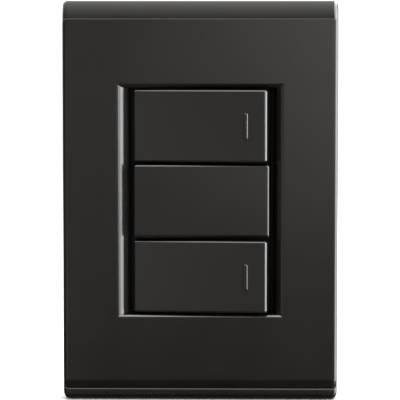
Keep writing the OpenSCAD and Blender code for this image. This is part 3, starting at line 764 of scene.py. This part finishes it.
def turnedScrew(size):
    # along +Y: a slotted face, then rings of (radius, place along the axis), then any thread
    bm = bmesh.new()
    rings, slots = size["rings"], size["slots"]
    radius, y = rings[0]
    bmesh.ops.create_circle(bm, cap_ends=True, segments=56, radius=radius,
                            matrix=Matrix.Translation((0, y, 0)) @ Matrix.Rotation(pi / 2, 4, "X"))
    for halfX, halfZ in slots:
        for side in (-1, 1):
            cutAt(bm, (side * halfX, 0, 0), (1, 0, 0))
            cutAt(bm, (0, 0, side * halfZ), (0, 0, 1))
    rim = [edge for edge in bm.edges if edge.is_boundary]
    sunk = [face for face in bm.faces
            if any(abs(face.calc_center_median().x) < halfX and abs(face.calc_center_median().z) < halfZ
                   for halfX, halfZ in slots)]
    grown = bmesh.ops.extrude_face_region(bm, geom=sunk)["geom"]
    bmesh.ops.translate(bm, vec=(0, size["deep"], 0), verts=vertsIn(grown))
    for (before, _), (radius, y) in zip(rings, rings[1:]):
        verts, rim = extrudeEdges(bm, rim)
        bmesh.ops.scale(bm, vec=(radius / before, 1, radius / before), verts=verts)
        for vert in verts:
            vert.co.y = y
    bmesh.ops.contextual_create(bm, geom=rim)
    if "thread" in size:
        addThread(bm, size["thread"])
    return bm


boxScrew = {
    "z": 41.65, "slots": ((0.45, 2.2), (2.2, 0.45)), "deep": 1.2,
    "rings": ((2.5, -4.4), (2.85, -4.33), (3.15, -4.12), (3.34, -3.8), (3.4, -3.4), (3.4, -2.35),
              (3.25, -2.2), (2, -2.2), (2, -0.1), (1.9, 0), (1.4, 0), (1.4, 21), (1.25, 21.2), (1.25, 22)),
    "thread": {"radius": 1.75, "core": 1.38, "pitch": 0.6, "crest": (0.38, 0.62),
               "start": -0.5, "end": 20.9},
}
screws = bmesh.new()
for side in (-1, 1):
    joinInto(screws, turnedScrew(boxScrew), Matrix.Translation((0, 0, side * boxScrew["z"])))
finishPiece("boxScrews", screws, "wall_support", ["box_screws"], finishes["zinc"])

terminalScrew = {
    "y": 18, "outer": 18.6, "slots": ((0.4, 2.05),), "deep": 0.9,
    "rings": ((2.3, 0), (2.5, 0.06), (2.6, 0.22), (2.6, 1.75), (2.5, 1.9), (1.45, 1.9),
              (1.45, 4.5), (1.25, 4.7)),
}
for switch in switches:
    hinge, _ = keyAtRest(switch)
    screws = bmesh.new()
    for side in (-1, 1):
        place = Matrix.Translation((side * terminalScrew["outer"], terminalScrew["y"], hinge.z))
        joinInto(screws, turnedScrew(terminalScrew), place @ Matrix.Rotation(side * pi / 2, 4, "Z"))
    finishPiece(switch + "TerminalScrews", screws, "wall_support",
                [switch + "_terminal_screws"], finishes["zinc"])


# CAD nodes that stay: soften their edges and give them their finish
softEdges = {"support_frame": 0.15, "housing": 0.12, "base": 0.14, "terminal": 0.12, "other": 0.06}
cadMesh = {"weld": 0.002, "flatAngle": 1, "cornerAngle": 40, "segments": 2}
slotOf = {row["node"]: row["material_slot"] for row in frame["record"]["subparts"]}
for name, node in frame["nodes"].items():
    node.data.materials.clear()
    node.data.materials.append(finishes[slotOf[name]])
    if node.hide_render:
        continue
    width = next((value for key, value in softEdges.items() if key in name), softEdges["other"])
    weld = node.modifiers.new("join", "WELD")
    weld.merge_threshold = cadMesh["weld"] * mm
    flat = node.modifiers.new("flatten", "DECIMATE")
    flat.decimate_type = "DISSOLVE"
    flat.angle_limit = radians(cadMesh["flatAngle"])
    soft = node.modifiers.new("softEdges", "BEVEL")
    soft.width = width * mm
    soft.segments = cadMesh["segments"]
    soft.limit_method = "ANGLE"
    soft.angle_limit = radians(cadMesh["cornerAngle"])
    soft.harden_normals = True
print("CAD nodes finished")


# stage, in metres
stage = {"gap": 0.0002, "reach": 30, "tint": ((0.84, 0.84, 0.835), (0.88, 0.88, 0.875)), "roughness": 0.7}
floorMesh = bmesh.new()
bmesh.ops.create_grid(floorMesh, x_segments=1, y_segments=1, size=stage["reach"])
bmesh.ops.translate(floorMesh, vec=(0, 0, cadLow.z - stage["gap"]), verts=floorMesh.verts)
floorData = bpy.data.meshes.new("floor")
floorMesh.to_mesh(floorData)
floorMesh.free()
floor = bpy.data.objects.new("floor", floorData)
bpy.context.scene.collection.objects.link(floor)
pale, nodes, links, shader, place = startFinish("paleFloor")
cloud = addNoise(nodes, links, place, scale=3, detail=2)
links.new(addRamp(nodes, links, cloud, zip((0.3, 0.7), stage["tint"])), shader.inputs["Base Color"])
shader.inputs["Roughness"].default_value = stage["roughness"]
floorData.materials.append(pale)
floor.visible_glossy = False  # keeps the floor out of the gloss

# camera
view = {"distance": 740, "azimuth": 1.0, "elevation": 4.5, "frameWidth": 119.8, "aim": (-0.1, -5.5, 0.1),
        "sensor": 36, "clip": 10}
cameraData = bpy.data.cameras.new("camera")
camera = bpy.data.objects.new("camera", cameraData)
bpy.context.scene.collection.objects.link(camera)
azimuth, elevation = radians(view["azimuth"]), radians(view["elevation"])
toCamera = Vector((sin(azimuth) * cos(elevation), -cos(azimuth) * cos(elevation), sin(elevation)))
camera.location = (Vector(view["aim"]) + toCamera * view["distance"]) * mm
camera.rotation_euler = toCamera.to_track_quat("Z", "Y").to_euler()
cameraData.sensor_width = view["sensor"]
cameraData.lens = view["sensor"] * view["distance"] / view["frameWidth"]
cameraData.clip_start = view["clip"] * mm
bpy.context.scene.camera = camera

# lights, in metres and watts
softboxes = {
    "rightBox": {"place": (0.7, -0.02, 0.08), "aim": (0, -0.01, 0.02), "size": (0.75, 0.8), "power": 2.6},
    "rightFront": {"place": (0.66, -0.62, 0.08), "aim": (0, -0.01, 0.03), "size": (0.48, 0.7), "power": 0.34},
    "frontBox": {"place": (0.47, -1.2, 0.13), "aim": (0.47, 0, 0.13), "size": (0.9, 0.4), "power": 2.25},
    "leftFill": {"place": (-0.62, -1.1, -0.15), "aim": (-0.62, 0, -0.15), "size": (0.9, 0.4), "power": 0.8},
    "backTop": {"place": (0.05, 0.5, 0.52), "aim": (0, -0.01, 0), "size": (1.1, 0.3), "power": 6},
}
for name, box in softboxes.items():
    data = bpy.data.lights.new(name, "AREA")
    data.shape = "RECTANGLE"
    data.size, data.size_y = box["size"]
    data.energy = box["power"]
    lamp = bpy.data.objects.new(name, data)
    lamp.location = box["place"]
    lamp.rotation_euler = (Vector(box["place"]) - Vector(box["aim"])).to_track_quat("Z", "Y").to_euler()
    bpy.context.scene.collection.objects.link(lamp)

# sky: darker on the camera's side and the left, brighter overhead and behind
sky = {"level": 0.62, "behind": 0.425, "above": 1.3, "right": 0.95, "below": 0.1, "fade": 5}
world = bpy.data.worlds.new("studio")
bpy.context.scene.world = world
world.use_nodes = True
nodes, links = world.node_tree.nodes, world.node_tree.links
background = nodes["Background"]
direction = nodes.new("ShaderNodeTexCoord")
split = nodes.new("ShaderNodeSeparateXYZ")
links.new(direction.outputs["Generated"], split.inputs["Vector"])


def skyMath(operation, first, second):
    node = nodes.new("ShaderNodeMath")
    node.operation = operation
    for socket, value in zip(node.inputs, (first, second)):
        if isinstance(value, (int, float)):
            socket.default_value = value
        else:
            links.new(value, socket)
    return node.outputs[0]


rise = skyMath("MAXIMUM", split.outputs["Z"], 0)
dome = skyMath("MULTIPLY", skyMath("MULTIPLY", rise, rise), sky["above"])
behind = skyMath("MULTIPLY", split.outputs["Y"], sky["behind"])
level = skyMath("ADD", skyMath("ADD", dome, behind), sky["level"])
# forward: 1 on the camera's side, 0 behind the part
forward = skyMath("SUBTRACT", 0.5, skyMath("MULTIPLY", split.outputs["Y"], 0.5))
sideways = skyMath("MULTIPLY", skyMath("MULTIPLY", split.outputs["X"], sky["right"]), forward)
sideways = skyMath("ADD", sideways, 1)
below = skyMath("MINIMUM", skyMath("ADD", skyMath("MULTIPLY", split.outputs["Z"], sky["fade"]), 1), 1)
below = skyMath("MAXIMUM", below, sky["below"])
glow = skyMath("MULTIPLY", skyMath("MULTIPLY", level, sideways), below)
# the camera itself sees plain white behind the part
rays = nodes.new("ShaderNodeLightPath")
seen = skyMath("MAXIMUM", glow, rays.outputs["Is Camera Ray"])
links.new(seen, background.inputs["Strength"])
background.inputs["Color"].default_value = (1, 1, 1, 1)
bpy.context.scene.view_settings.view_transform = "Standard"
bpy.context.scene.view_settings.look = "None"
print("stage, camera and lights set")
